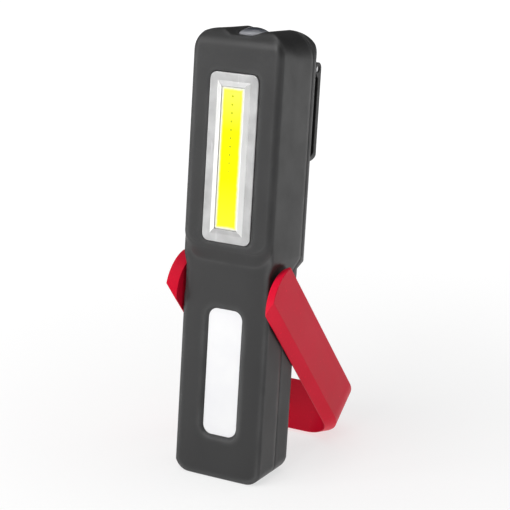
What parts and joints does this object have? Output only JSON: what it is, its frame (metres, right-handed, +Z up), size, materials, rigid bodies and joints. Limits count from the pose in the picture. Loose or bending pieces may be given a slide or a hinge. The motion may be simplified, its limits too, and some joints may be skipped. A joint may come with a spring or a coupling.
{
  "type": "rechargeable work light",
  "caption": "Slim handheld inspection light: black two-part case, long front light strip, torch in the top, red U-shaped folding stand with a magnet, and a fold-out hanging hook.",
  "frame": {"origin": "centre of the ground area under the light as it stands on its case foot and open stand, at ground level", "axes": "+Z up, -Y towards the side that the light strip faces, +X to the right seen from that side"},
  "size_m": [0.0576, 0.092, 0.2081],
  "materials": {
    "black_case": "fine-grained matte black",
    "black_screw": "black oxide",
    "silver_frame": "satin silver",
    "bare_aluminium": "bare",
    "white_board": "white solder mask",
    "white_silicone": "soft satin",
    "yellow_phosphor": "glossy silicone over phosphor",
    "white_gloss": "glossy white",
    "clear_lens": "clear moulded lens",
    "bright_reflector": "vacuum-metallised",
    "led_white": "clear dome on white base",
    "black_rubber": "soft matte",
    "green_board": "green solder mask",
    "dark_component": "moulded epoxy",
    "socket_steel": "plain steel",
    "light_pipe": "translucent",
    "cell_can": "shrink-wrapped cell",
    "contact_brass": "nickel-plated",
    "wire_cover": "flexible insulation",
    "washer_plastic": "low-friction plastic",
    "black_hook": "fine-grained matte black",
    "red_stand": "satin red",
    "magnet_chrome": "nickel-plated magnet"
  },
  "bodies": {
    "case": {"front_shell": "black_case", "rear_shell": "black_case", "case_screws": "black_screw", "cob_reflector": "silver_frame", "heat_sink": "bare_aluminium", "cob_board": "white_board", "cob_dam": "white_silicone", "cob_phosphor": "yellow_phosphor", "label_plate": "white_gloss", "torch_lens": "clear_lens", "torch_reflector": "bright_reflector", "torch_led": "led_white", "torch_seal": "black_rubber", "torch_board": "white_board", "main_board": "green_board", "board_components": "dark_component", "charging_socket": "socket_steel", "tact_switch": "dark_component", "charge_indicator": "light_pipe", "battery_cell": "cell_can", "battery_contacts": "contact_brass", "inner_wires": "wire_cover", "pivot_washers": "washer_plastic", "hook_pin": "socket_steel"},
    "stand": {"stand_frame": "red_stand", "stand_pivot_pins": "socket_steel", "pivot_clips": "socket_steel", "stand_magnet": "magnet_chrome"},
    "hook": {"hanging_hook": "black_hook"},
    "power_button": {"power_button": "black_rubber"},
    "port_cover": {"port_cover": "black_rubber"}
  },
  "joints": [
    {"name": "stand_swing", "type": "hinge", "parent": "case", "child": "stand", "pos_m": [0, -0.02341, 0.08295], "axis": [1, 0, 0], "range_deg": [-45, 100]},
    {"name": "hook_swing", "type": "hinge", "parent": "case", "child": "hook", "pos_m": [0, 0.01057, 0.18735], "axis": [1, 0, 0], "range_deg": [0, 175]},
    {"name": "power_press", "type": "slide", "parent": "case", "child": "power_button", "axis": [0, -0.9939, 0.1099], "range_m": [0, 0.0006], "stiffness_N_per_m": 600},
    {"name": "cover_swing", "type": "hinge", "parent": "case", "child": "port_cover", "pos_m": [-0.023, -0.01497, 0.11925], "axis": [0, -0.9939, 0.1099], "range_deg": [0, 95]}
  ]
}
